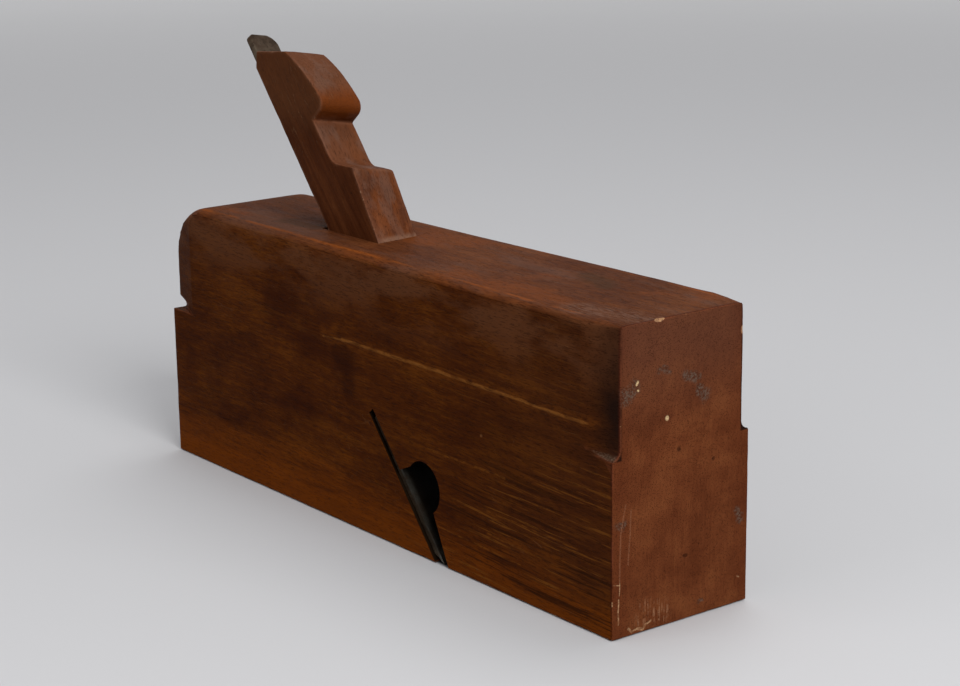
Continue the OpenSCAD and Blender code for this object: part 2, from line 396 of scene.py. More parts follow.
# Marks on the right side: one long pale line along the grain with a glow round it, ochre
# lines, scratches and a smudge. Then marks on the toe: dents, scratches, rubs, dark dots, a
# brushed patch and bruises. Each has a start and an end on its face, in millimetres, and a half
# width in metres
long_line = [
    ((-23, 60.8), (-12, 61.5), 0.0005),
    ((-12, 61.5), (40, 61.9), 0.0008),
    ((40, 61.9), (109, 61.2), 0.0007),
    ((109, 61.2), (114, 62.4), 0.0006),
]
line_glow = [((-23, 61.0), (112, 61.6), 0.0026)]
ochre_lines = [
    ((33, 36.2), (71, 36.1), 0.0006),
    ((58, 17), (96, 15.5), 0.0005),
    ((20, 13.0), (78, 11.2), 0.0004),
    ((62, 24.0), (104, 23.2), 0.0004),
]
side_scratches = [
    ((96.7, 82.0), (100.0, 81.6), 0.0003),
    ((111.9, 79.4), (112.3, 79.4), 0.0005),
    ((59.8, 46.5), (60.2, 46.5), 0.0006),
    ((84.0, 20.5), (88.0, 19.6), 0.0003),
]
side_smudges = [((-12.8, 58.0), (-8.3, 47.5), 0.0070)]
toe_dents = [
    ((-6.0, 61.6), (-5.9, 61.4), 0.0009),
    ((-17.3, 73.1), (-16.9, 73.7), 0.0006),
    ((-16.9, 71.4), (-16.6, 71.3), 0.0004),
]
toe_scratches = [
    ((-19.9, 2.4), (-18.6, 1.2), 0.00060),
    ((-18.6, 1.2), (-16.6, 1.7), 0.00045),
    ((-16.6, 1.7), (-14.6, 1.0), 0.00060),
    ((-14.6, 1.0), (-13.4, 2.2), 0.00055),
    ((-13.4, 2.2), (-11.6, 2.7), 0.00045),
    ((-23.1, 17.5), (-23.2, 13.0), 0.00025),
    ((-23.4, 11.9), (-23.6, 4.5), 0.00035),
    ((-25.4, 16.5), (-23.1, 16.0), 0.00025),
    ((22.0, 8.4), (22.8, 8.0), 0.00040),
]
toe_rubs = [
    ((-21.0, 39.3), (-23.0, 31.0), 0.00035),
    ((-23.0, 31.0), (-23.1, 17.5), 0.00040),
    ((-19.1, 37.4), (-20.2, 21.5), 0.00035),
]
toe_dots = [
    ((-1.5, 51.6), (-1.4, 51.5), 0.0010),
    ((11.8, 46.0), (11.9, 46.0), 0.0008),
    ((1.2, 19.2), (1.9, 19.2), 0.0008),
]
toe_brushings = [((-14.5, 5.5), (-8.0, 4.5), 0.0055)]
toe_bruises = [
    ((-20.5, 70.5), (-18.0, 72.5), 0.0034),
    ((22.4, 27.5), (22.8, 25.5), 0.0022),
    ((2.5, 72.5), (5.0, 71.0), 0.0026),
    ((7.0, 66.5), (9.0, 65.5), 0.0030),
    ((-8.5, 75.0), (-5.5, 75.5), 0.0018),
    ((-23.8, 33.5), (-21.8, 33.5), 0.0018),
    ((6.6, 4.6), (8.4, 4.0), 0.0012),
]
# Where the painted highlight on the rubbed crest of each long top edge runs: how far in, and how
# far it strays. Then how weakly the dull oil mirrors the room
crest_inset = 0.0054
crest_wander = 0.0030
oil_specular = 0.01


def fresh_beech():
    """Beech that a chip has laid bare: pale, fibrous and dry."""
    material, tree, shader, place, _ = finish_of("fresh_beech")
    fibres = figure(tree, place, (300, 3000, 3000))
    colour = colours(tree, fibres, (0.35, (0.16, 0.060, 0.022)), (0.65, (0.46, 0.25, 0.11)))
    tree.links.new(colour, shader.inputs["Base Color"])
    shader.inputs["Roughness"].default_value = 0.8
    relief(tree, shader, 0.0002, (1.0, fibres))
    return material


def stock_finish():
    """Old oiled beech: fine streaks, dark clouds, amber at the foot, and the marks of use."""
    material, tree, shader, place, facing = finish_of("stock_beech")
    x, y, z = axes_of(tree, place)
    nx, ny, nz = axes_of(tree, facing)
    gap = edge_gap_of(tree)
    past_cuts = rise(tree, size_of(tree, x), cuts_reach - 0.008, cuts_reach - 0.002)
    ends = times(tree, rise(tree, size_of(tree, nx), 0.5, 0.8), past_cuts)
    tops = times(tree, rise(tree, nz, 0.45, 0.85), rise(tree, z, 0.068, 0.078))
    sides = rise(tree, size_of(tree, ny), 0.5, 0.8)

    # Growth layers and fibres, running a little downhill towards the toe
    sloped = put(tree, "CombineXYZ", x, y, plus(tree, (0.025, x), (1.0, z)))
    grown = wandered(tree, sloped, (20, 45, 45), 0.002)
    cloud = figure(tree, place, (26, 34, 38), 0.4, detail=5.0)
    layers = figure(tree, grown, (20, 150, 230), 1.0, detail=5.0)
    streaks = figure(tree, grown, (80, 520, 800), 2.0, detail=4.0)
    flecks = figure(tree, grown, (260, 1500, 2200), 3.0)
    pores = rise(tree, figure(tree, grown, (330, 2600, 3400), 4.0, detail=1.0), 0.58, 0.68)
    grain = plus(tree, (0.30, cloud), (0.24, layers), (0.22, streaks), (0.24, flecks))
    side_wood = colours(
        tree, grain,
        (0.41, (0.042, 0.0090, 0.0018)),
        (0.50, (0.072, 0.0170, 0.0024)),
        (0.59, (0.118, 0.0320, 0.0036)),
    )
    top_wood = colours(
        tree, grain,
        (0.40, (0.070, 0.0195, 0.0070)),
        (0.50, (0.110, 0.0330, 0.0110)),
        (0.60, (0.158, 0.0500, 0.0160)),
    )

    # End grain: a soft mottle, upright fibres and faint curved growth rings, greyer towards the
    # top and redder towards the sides
    ring_way = put(tree, "VectorMath", place, (stock_end, 0.110, 0.020), operation="DISTANCE", out=1)
    rings = figure(tree, put(tree, "CombineXYZ", ring_way, 0.0, z), (900, 0, 25), 6.0)
    uprights = figure(tree, place, (60, 1500, 120), 5.0)
    mottle = figure(tree, wandered(tree, place, (50, 50, 50), 0.012), (70, 70, 90), 7.0, detail=6.0)
    end_grain = plus(tree, (0.66, mottle), (0.15, uprights), (0.19, rings))
    end_wood = colours(
        tree, end_grain,
        (0.40, (0.108, 0.0285, 0.0102)),
        (0.50, (0.140, 0.0390, 0.0138)),
        (0.60, (0.172, 0.0515, 0.0178)),
    )
    colour = over(tree, ends, over(tree, tops, side_wood, top_wood), end_wood)
    greyer = times(tree, ends, rise(tree, z, 0.052, 0.088))
    colour = over(tree, times(tree, greyer, 0.55), colour, (0.098, 0.0390, 0.0240))
    from_side = put(tree, "Math", stock_side, size_of(tree, y), operation="SUBTRACT")
    from_top = put(tree, "Math", stock_top, z, operation="SUBTRACT")
    redder = times(tree, ends, rise(tree, from_side, 0.009, 0.001))
    colour = over(tree, times(tree, redder, 0.35), colour, (0.088, 0.0190, 0.0070))

    # Stains on the sides: olive towards the toe, dark clouds most of all towards the heel, amber along
    # the foot, fine lines along the grain, and a dark smudge; and a pale band high up, a painted sheen
    heelward = plus(tree, (0.40, rise(tree, x, 0.09, -0.08)), (0.24, 1.0))
    olive = times(tree, rise(tree, x, 0.030, 0.110), sides)
    colour = over(tree, times(tree, olive, 0.35), colour, (0.058, 0.0190, 0.0076))
    dark_cloud = rise(tree, figure(tree, place, (24, 40, 38), 8.0, detail=6.0), 0.46, 0.62)
    colour = over(tree, times(tree, dark_cloud, heelward, sides), colour, (0.030, 0.0055, 0.0016))
    # Painted sheen: a pale band high up on the sides, where they turn towards the top
    upper_sheen_patches = rise(tree, figure(tree, place, (30, 80, 80), 9.0, detail=5.0), 0.40, 0.60)
    upper_sheen = times(tree, rise(tree, z, 0.064, 0.084), upper_sheen_patches, sides)
    colour = over(tree, times(tree, upper_sheen, 0.75), colour, (0.124, 0.0440, 0.0175))
    foot_height = plus(tree, (1.0, z), (0.02, x), (-0.030, layers), (-0.016, streaks))
    amber = times(tree, rise(tree, foot_height, -0.001, -0.024), sides)
    colour = over(tree, times(tree, amber, 0.85), colour, (0.172, 0.0390, 0.0030))
    line_waves = figure(tree, grown, (24, 600, 1050), 9.6, detail=3.0)
    line_patches = rise(tree, figure(tree, place, (22, 40, 60), 9.8, detail=3.0), 0.44, 0.60)
    near_toe = times(tree, rise(tree, x, 0.000, 0.060), rise(tree, z, 0.070, 0.020), sides)
    line_share = plus(tree, (0.75, near_toe), (0.25, sides))
    fine_lines = times(tree, rise(tree, line_waves, 0.58, 0.65), line_patches, line_share)
    colour = over(tree, times(tree, fine_lines, 0.68), colour, (0.190, 0.0640, 0.0100))
    dark_lines = times(tree, rise(tree, line_waves, 0.45, 0.37), near_toe)
    colour = over(tree, times(tree, dark_lines, 0.70), colour, (0.021, 0.0060, 0.0020))
    smudge = strokes(tree, wandered(tree, place, (90, 90, 90), 0.009), side_smudges, on_side)
    colour = over(tree, times(tree, smudge, 0.6), colour, (0.024, 0.0050, 0.0016))

    # Stains on the top: faint grey rubbed streaks, amber clouds, and grime in two places, the one on
    # the heel side of the mortise also a painted shadow of the wedge
    greyed = rise(tree, figure(tree, place, (20, 80, 80), 10.0, detail=5.0), 0.50, 0.64)
    colour = over(tree, times(tree, greyed, tops, 0.40), colour, (0.125, 0.0600, 0.0400))
    warm = rise(tree, figure(tree, place, (30, 50, 50), 11.0, detail=5.0), 0.50, 0.64)
    colour = over(tree, times(tree, warm, tops, 0.55), colour, (0.175, 0.0440, 0.0090))
    # Grime in two places; the patch on the heel side of the mortise is also a painted shadow of the wedge
    grime_and_shadow_place = wandered(tree, place, (80, 80, 80), 0.010)
    grime_and_wedge_shadow = most(tree, [
        stroke(tree, grime_and_shadow_place, (-0.062, -0.012, stock_top), (-0.047, -0.011, stock_top), 0.006),
        stroke(tree, grime_and_shadow_place, (0.066, 0.011, stock_top), (0.079, 0.006, stock_top), 0.006),
    ])
    colour = over(tree, times(tree, grime_and_wedge_shadow, tops, 0.6), colour, (0.052, 0.0240, 0.0110))

    # Painted highlights along the worn crests of the two long top edges, and a dry rough patch at the
    # toe's near corner
    crest_wave = figure(tree, place, (40, 40, 40), 12.5)
    crest_way = plus(tree, (1.0, from_side), (crest_wander, crest_wave), (-crest_inset, 1.0))
    crest_off = size_of(tree, crest_way)
    short_of_toe = rise(tree, x, 0.114, 0.106)
    crest_patches = rise(tree, figure(tree, place, (50, 160, 160), 12.0, detail=5.0), 0.40, 0.56)
    crest_high = rise(tree, from_top, 0.0030, 0.0015)
    # Painted highlight along the worn crest of each long top edge
    crest_highlight = times(tree, rise(tree, crest_off, 0.0011, 0.0002), crest_high, crest_patches)
    colour = over(tree, times(tree, crest_highlight, short_of_toe, 0.8), colour, (0.240, 0.0620, 0.0110))
    corner_place = wandered(tree, place, (120, 120, 120), 0.008)
    corner = stroke(tree, corner_place, (0.095, -0.018, stock_top), (0.117, -0.012, stock_top), 0.0080)
    rough = rise(tree, flecks, 0.40, 0.62)
    colour = over(tree, times(tree, corner, tops, rough, 0.5), colour, (0.170, 0.0950, 0.0660))

    # Painted shade in the chamfers, darkest at the toe's edge, and dust on the ledges that end them
    from_end = put(tree, "Math", size_of(tree, x), stock_end - chamfer_length, operation="SUBTRACT")
    proud = plus(tree, (chamfer_depth / chamfer_length, from_end), (-1.0, from_side))
    above_foot = rise(tree, z, chamfer_foot - 0.0004, chamfer_foot)
    cut_off = times(tree, rise(tree, proud, -0.0010, -0.0002), above_foot)
    # Painted shade in the chamfers, darkest towards the toe
    toe_chamfer_shade = plus(tree, (0.75, rise(tree, x, 0.1050, 0.1185)), (0.12, 1.0))
    chamfer_shade_patches = plus(tree, (0.7, rise(tree, cloud, 0.35, 0.60)), (0.55, 1.0))
    colour = over(tree, times(tree, cut_off, toe_chamfer_shade, chamfer_shade_patches), colour, (0.015, 0.0062, 0.0040))
    speckle = rise(tree, figure(tree, place, (1500, 1500, 1500), 13.0, detail=3.0), 0.42, 0.62)
    facing_up = rise(tree, nz, 0.45, 0.85)
    ledge = times(tree, cut_off, facing_up, rise(tree, z, chamfer_foot + 0.0050, chamfer_foot + 0.0035))
    dust = times(tree, ledge, plus(tree, (0.7, speckle), (0.3, 1.0)))
    colour = over(tree, times(tree, dust, 0.8), colour, (0.135, 0.0900, 0.0600))

    # Painted shade on the walls of the eye, the slot and the mortise, a little lighter near their
    # openings
    to_end = put(tree, "Math", stock_end, size_of(tree, x), operation="SUBTRACT")
    depth = least(tree, [to_end, from_side, from_top, z])
    below = times(tree, rise(tree, depth, 0.0001, 0.0005), rise(tree, z, 0.083, 0.079))
    inside = most(tree, [below, rise(tree, depth, 0.0048, 0.0070)])
    inside = times(tree, inside, rise(tree, size_of(tree, x), cuts_reach - 0.002, cuts_reach - 0.006))
    browner = rise(tree, cloud, 0.4, 0.6)
    # Painted shade inside the cuts, lighter near their openings
    cut_wall_shade = over(tree, browner, (0.0050, 0.0020, 0.0010), (0.0130, 0.0044, 0.0020))
    cut_rims = rise(tree, depth, 0.0022, 0.0012)
    cut_wall_shade = over(tree, times(tree, cut_rims, 0.8), cut_wall_shade, (0.0170, 0.0105, 0.0055))
    colour = over(tree, inside, colour, cut_wall_shade)
    open_air = put(tree, "Math", 1.0, inside, operation="SUBTRACT")

    # Rubbed edges, a dark red line round the toe, and small pale nicks
    patches = rise(tree, figure(tree, place, (70, 90, 90), 14.0), 0.38, 0.62)
    rubbed = times(tree, rise(tree, gap, 0.0008, 0.0001), patches, open_air)
    colour = over(tree, times(tree, rubbed, 0.6), colour, (0.200, 0.0560, 0.0240))
    at_toe = rise(tree, x, stock_end - 0.0012, stock_end - 0.0004)
    toe_arris = times(tree, at_toe, most(tree, [sides, tops]))
    colour = over(tree, times(tree, toe_arris, 0.55), colour, (0.044, 0.0085, 0.0048))
    grit = rise(tree, figure(tree, place, (520, 620, 620), 15.0, detail=2.0), 0.66, 0.71)
    nicks = times(tree, rise(tree, gap, 0.0006, 0.0001), grit, open_air)
    colour = over(tree, times(tree, nicks, 0.8), colour, (0.360, 0.1800, 0.0800))

    # Strokes on the right side
    shaky = wandered(tree, place, (60, 120, 120), 0.0011)
    broken = rise(tree, figure(tree, place, (160, 500, 500), 16.0, detail=6.0), 0.40, 0.56)
    pale_line = strokes(tree, shaky, long_line, on_side)
    pale_line = times(tree, pale_line, plus(tree, (0.55, broken), (0.45, 1.0)))
    glow = strokes(tree, shaky, line_glow, on_side)
    colour = over(tree, times(tree, glow, broken, 0.40), colour, (0.150, 0.0420, 0.0060))
    colour = over(tree, times(tree, pale_line, 0.75), colour, (0.250, 0.0900, 0.0180))
    ochre = times(tree, strokes(tree, shaky, ochre_lines, on_side), broken)
    colour = over(tree, times(tree, ochre, 0.6), colour, (0.180, 0.0560, 0.0080))
    short = strokes(tree, shaky, side_scratches, on_side)
    colour = over(tree, times(tree, short, 0.6), colour, (0.200, 0.0800, 0.0280))

    # Strokes, bruises and dust on the toe
    bright = strokes(tree, shaky, toe_dents, on_toe)
    scored = strokes(tree, shaky, toe_scratches, on_toe)
    scored = times(tree, scored, plus(tree, (0.75, broken), (0.25, 1.0)))
    brushed = times(tree, strokes(tree, place, toe_brushings, on_toe), rise(tree, uprights, 0.47, 0.60))
    bruises = strokes(tree, wandered(tree, place, (180, 180, 180), 0.006), toe_bruises, on_toe)
    colour = over(tree, times(tree, bruises, 0.50), colour, (0.056, 0.0220, 0.0130))
    toe_dust = times(tree, bruises, speckle)
    colour = over(tree, times(tree, toe_dust, 0.55), colour, (0.160, 0.1150, 0.0860))
    rubs = strokes(tree, shaky, toe_rubs, on_toe)
    colour = over(tree, times(tree, rubs, 0.45), colour, (0.270, 0.1100, 0.0560))
    colour = over(tree, times(tree, brushed, broken, 0.75), colour, (0.290, 0.1350, 0.0700))
    colour = over(tree, times(tree, scored, 0.90), colour, (0.480, 0.2700, 0.1400))
    colour = over(tree, bright, colour, (0.640, 0.4500, 0.2400))
    dark_dots = strokes(tree, shaky, toe_dots, on_toe)

    # Hairline scratches, dark dots and pores all over
    scratches = most(tree, [
        hairlines(tree, place, (14, 300, 500), 17.0, 0.54),
        hairlines(tree, place, (60, 500, 160), 18.0, 0.58),
    ])
    colour = over(tree, times(tree, scratches, 0.22), colour, (0.180, 0.0700, 0.0240))
    dots = most(tree, [
        specks(tree, place, 38, 0.0006, 0.3),
        specks(tree, place, 85, 0.0003, 0.7),
        dark_dots,
    ])
    colour = over(tree, times(tree, dots, 0.6), colour, (0.016, 0.0052, 0.0026))
    colour = over(tree, times(tree, pores, 0.40), colour, (0.018, 0.0045, 0.0014))
    tree.links.new(colour, shader.inputs["Base Color"])

    # Sheen of the oil, duller on the end grain and in the cuts, brighter where hands rubbed it
    gloss = plus(
        tree, (0.30, streaks), (0.34, 1.0), (0.06, ends), (0.30, inside), (0.25, ledge), (-0.08, rubbed),
    )
    tree.links.new(gloss, shader.inputs["Roughness"])
    shader.inputs["Specular IOR Level"].default_value = oil_specular
    relief(
        tree, shader, 0.00018,
        (0.35, streaks), (0.25, flecks), (-0.45, pores), (-0.9, dots), (-0.5, scratches),
        (0.6, pale_line), (-0.7, short), (-0.9, nicks), (-0.6, scored), (-0.8, bright), (-0.4, toe_dust),
    )
    return material


def on_outline(place):
    """Whether a place lies on an outer edge of the stock, and not on an edge of its cuts."""
    gaps = (stock_end - abs(place.x), stock_side - abs(place.y), place.z, stock_top - place.z)
    return abs(place.x) > cuts_reach or sum(gap < edge_near for gap in gaps) > 1


def round_over(piece):
    """Rounds the long top edges and the upper part of the upright corners, most at the heel."""
    points = points_of(piece)
    x, y, z = points.T
    right_rounds = np.interp(x, round_places, right_radii)
    left_rounds = np.interp(x, round_places, left_radii)
    radius = np.where(y < 0, right_rounds, left_rounds) * np.clip((z - round_foot) / round_fade, 0, 1)
    core_x = np.maximum(x, stock_low.x + heel_round)
    core_z = np.minimum(z, stock_top - heel_round)
    away = np.stack([x - core_x, z - core_z], axis=1)
    far = np.maximum(np.linalg.norm(away, axis=1), 1e-9)
    past_start = np.where(z > round_foot, np.maximum(x - stock_end + chamfer_length, 0), 0)
    side = stock_side - past_start * chamfer_depth / chamfer_length
    inward = np.maximum(np.stack([radius - side + np.abs(y), radius - heel_round + far], axis=1), 0)
    length = np.maximum(np.linalg.norm(inward, axis=1), 1e-9)
    pull = inward * (1 - np.minimum(radius / length, 1))[:, None]
    points[:, 1] -= np.sign(y) * pull[:, 0]
    points[:, [0, 2]] -= away / far[:, None] * pull[:, 1:]
    piece.data.vertices.foreach_set("co", points.ravel())
    piece.data.update()


# Radii to which wear has rounded the two long top edges, at places along them, the height at
# which that rounding begins on the upright corners and the height that it takes to grow full
round_places = [-0.119, -0.099, -0.060, 0.000, 0.060, 0.119]
right_radii = [0.0052, 0.0050, 0.0045, 0.0042, 0.0036, 0.0014]
left_radii = [0.0100, 0.0090, 0.0080, 0.0065, 0.0038, 0.0020]
round_foot = 0.062
round_fade = 0.016
# Where the mesh is cut close beside the long edges, how wide the outer edges are softened and by
# what share of that the edges of the cuts, how far apart the other cuts through the mesh are,
# and how deep in the stock no wear reaches
edge_steps = [0.0004, 0.0010, 0.0022, 0.0034, 0.0044, 0.0056, 0.0080]
edge_round = 0.00045
inner_share = 0.2
stock_step = 0.0035
buried_depth = 0.0030
# Small chips knocked out of the stock's edges: where each lies, and its half sizes
stock_chips = [
    ((stock_end, -0.0089, stock_top), (0.0009, 0.0021, 0.0010)),
    ((stock_end, 0.0228, 0.0822), (0.0006, 0.0007, 0.0014)),
    ((stock_end, -stock_side, 0.0110), (0.0004, 0.0004, 0.0012)),
    ((stock_end, 0.0107, 0.0000), (0.0005, 0.0010, 0.0005)),
    ((stock_end, 0.0210, 0.0000), (0.0005, 0.0010, 0.0004)),
    ((0.0930, -stock_side, 0.0000), (0.0024, 0.0004, 0.0004)),
    ((0.0700, -stock_side, 0.0000), (0.0014, 0.0004, 0.0004)),
    ((-0.0620, -stock_side, 0.0000), (0.0020, 0.0004, 0.0004)),
    ((-stock_end, -0.0120, 0.0000), (0.0007, 0.0018, 0.0006)),
    ((0.0360, stock_side, 0.0000), (0.0020, 0.0006, 0.0006)),
    ((-0.0200, stock_side, 0.0000), (0.0014, 0.0005, 0.0005)),
]
stock_wood = whole_copy("stock_wood", "stock")
stock_wood.data.materials.append(stock_finish())
softened = soften(stock_wood, edge_round, lambda place: 1.0 if on_outline(place) else inner_share)
outline = [edge for edge in softened if on_outline((edge[0] + edge[1]) / 2)]
side_cuts = [side * (stock_side - step) for side in (-1, 1) for step in edge_steps]
top_cuts = [stock_top - step for step in edge_steps]
score(stock_wood, Vector((1, 0, 0)), stock_step)
score(stock_wood, Vector((0, 1, 0)), stock_step, side_cuts)
score(stock_wood, Vector((0, 0, 1)), stock_step, top_cuts)
stock_gap = note_edge_gap(stock_wood, outline)
round_over(stock_wood)
stock_x, stock_y, from_sole = points_of(stock_wood).T
from_side = stock_side - np.abs(stock_y)
from_top = stock_top - from_sole
buried = np.minimum(np.minimum(from_side, from_top), from_sole) > buried_depth
buried &= np.abs(stock_x) < cuts_reach
crest_gap = from_side + from_top
crest_gap[buried] = 1
stock_gap[buried] = 1
rub(stock_wood, "stock", crest_gap, depth=0.00035, reach=0.0070, wave=0.016)
rub(stock_wood, "stock", stock_gap, depth=0.00025, reach=0.0030, wave=0.006)
chip(stock_wood, stock_chips, fresh_beech())
shade(stock_wood)
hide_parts("stock")
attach(stock_wood, "stock")

# The iron
# A hand-forged bar of wrought iron: a thin blade as wide as the stock, drawn down to a tang
# that stands up out of the mortise. It is dark with age, with rust in its low places.
bed_up = Vector(frame["record"]["behaviour"]["joints"][0]["axis"]).normalized()
# How wide its edges above the stock are softened and by what share of that the others, how far
# apart the cuts through the mesh are, and how weakly the dull metal mirrors the room
iron_round = 0.0004
buried_share = 0.4
iron_step = 0.003
metal_specular = 0.03


def throat_grime_and_shade(tree, place):
    """Where grime and painted shade cover the iron in the throat: less on its two side edges and near
    them.
    """
    _, y, z = axes_of(tree, place)
    from_side = put(tree, "Math", stock_side, size_of(tree, y), operation="SUBTRACT")
    inward = plus(tree, (0.28, rise(tree, from_side, 0.0016, 0.0046)), (0.72, 1.0))
    return times(tree, rise(tree, z, 0.089, 0.083), rise(tree, z, 0.001, 0.005), inward)


def wrought_finish():
    """Forge-dark iron with brown rust and rubbed grey high places."""
    material, tree, shader, place, _ = finish_of("wrought_iron")
    gap = edge_gap_of(tree)
    scale = figure(tree, place, (260, 260, 260), 1.0, detail=6.0)
    rust = rise(tree, figure(tree, place, (90, 90, 90), 2.0, detail=5.0), 0.44, 0.62)
    pits = rise(tree, figure(tree, place, (1400, 1400, 1400), 3.0, detail=2.0), 0.60, 0.70)
    grime_and_shade = throat_grime_and_shade(tree, place)
    colour = colours(
        tree, scale,
        (0.34, (0.036, 0.0230, 0.0145)),
        (0.52, (0.062, 0.0400, 0.0260)),
        (0.68, (0.084, 0.0590, 0.0400)),
    )
    colour = over(tree, times(tree, rust, 0.5), colour, (0.080, 0.0370, 0.0180))
    bright = times(tree, rise(tree, gap, 0.0011, 0.0001), rise(tree, scale, 0.38, 0.54))
    colour = over(tree, times(tree, bright, 0.35), colour, (0.150, 0.1200, 0.0850))
    colour = over(tree, times(tree, pits, 0.6), colour, (0.018, 0.0110, 0.0070))
    # Painted shade, with grime, on the iron inside the throat
    shaded_crust = colours(tree, scale, (0.40, (0.0060, 0.0036, 0.0020)), (0.62, (0.0230, 0.0145, 0.0078)))
    colour = over(tree, times(tree, grime_and_shade, 1.0), colour, shaded_crust)
    tree.links.new(colour, shader.inputs["Base Color"])
    metal = plus(tree, (0.30, 1.0), (-0.20, rust), (-0.28, grime_and_shade), (0.15, bright))
    tree.links.new(metal, shader.inputs["Metallic"])
    tree.links.new(plus(tree, (0.35, scale), (0.34, 1.0), (0.20, grime_and_shade)), shader.inputs["Roughness"])
    shader.inputs["Specular IOR Level"].default_value = metal_specular
    relief(tree, shader, 0.00022, (0.8, scale), (-0.7, pits), (0.3, rust))
    return material


iron_body = whole_copy("iron_body", "iron")
iron_body.data.materials.append(wrought_finish())
iron_edges = soften(iron_body, iron_round, lambda place: 1.0 if place.z > stock_top else buried_share)
score(iron_body, bed_up, iron_step)
score(iron_body, Vector((0, 1, 0)), iron_step)
iron_gap = note_edge_gap(iron_body, iron_edges)
rub(iron_body, "iron", iron_gap, depth=0.0003, reach=0.0025, wave=0.007)
shade(iron_body)
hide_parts("iron")
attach(iron_body, "iron")

# The laid steel
# A plate of hard steel, forge-welded on the face of the blade and ground to the cutting edge.
# It is greyer and smoother than the iron behind it, with brown spots, and old grime and painted shade up
# the throat.
steel_round = 0.0001


def steel_finish():
    """Old ground steel: grey, with grinding marks, brown spots, and grime and painted shade up the
    throat.
    """
    material, tree, shader, place, _ = finish_of("laid_steel")
    marks = figure(tree, place, (200, 2400, 200), 1.0)
    spots = rise(tree, figure(tree, place, (170, 170, 170), 2.0, detail=5.0), 0.46, 0.62)
    grime_and_shade = throat_grime_and_shade(tree, place)
    colour = colours(tree, marks, (0.35, (0.085, 0.0780, 0.0640)), (0.65, (0.165, 0.1560, 0.1320)))
    colour = over(tree, times(tree, spots, 0.6), colour, (0.078, 0.0400, 0.0200))
    # Painted shade, with grime, on the steel inside the throat
    colour = over(tree, times(tree, grime_and_shade, 1.0), colour, (0.0060, 0.0036, 0.0020))
    tree.links.new(colour, shader.inputs["Base Color"])
    tree.links.new(plus(tree, (0.70, 1.0), (-0.35, spots), (-0.66, grime_and_shade)), shader.inputs["Metallic"])
    tree.links.new(plus(tree, (0.40, 1.0), (0.20, spots), (0.30, grime_and_shade)), shader.inputs["Roughness"])
    shader.inputs["Specular IOR Level"].default_value = metal_specular
    relief(tree, shader, 0.00006, (1.0, marks), (-0.8, spots))
    return material


iron_steel = whole_copy("iron_steel", "laid_steel")
iron_steel.data.materials.append(steel_finish())
steel_edges = soften(iron_steel, steel_round, lambda place: 1.0)
score(iron_steel, bed_up, iron_step)
score(iron_steel, Vector((0, 1, 0)), iron_step)
note_edge_gap(iron_steel, steel_edges)
shade(iron_steel)
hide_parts("laid_steel")
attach(iron_steel, "iron")

# The wedge
# Beech, sawn to a long taper and notched under its head so that it can be knocked loose. Its
# sides are dark and its fronts are rubbed lighter, most of all along their edges.
bed_off = Vector((bed_up.z, 0, -bed_up.x))
# The height of the head's nose, how wide the edges are softened and by what share of that those
# in the mortise, from what heights they are rounded and rubbed, and how far apart the cuts are
nose_height = 0.1300
wedge_round = 0.0007
mortise_share = 0.15
rounded_from = stock_top + 0.002
rubbed_from = stock_top + 0.001
wedge_step = 0.0018


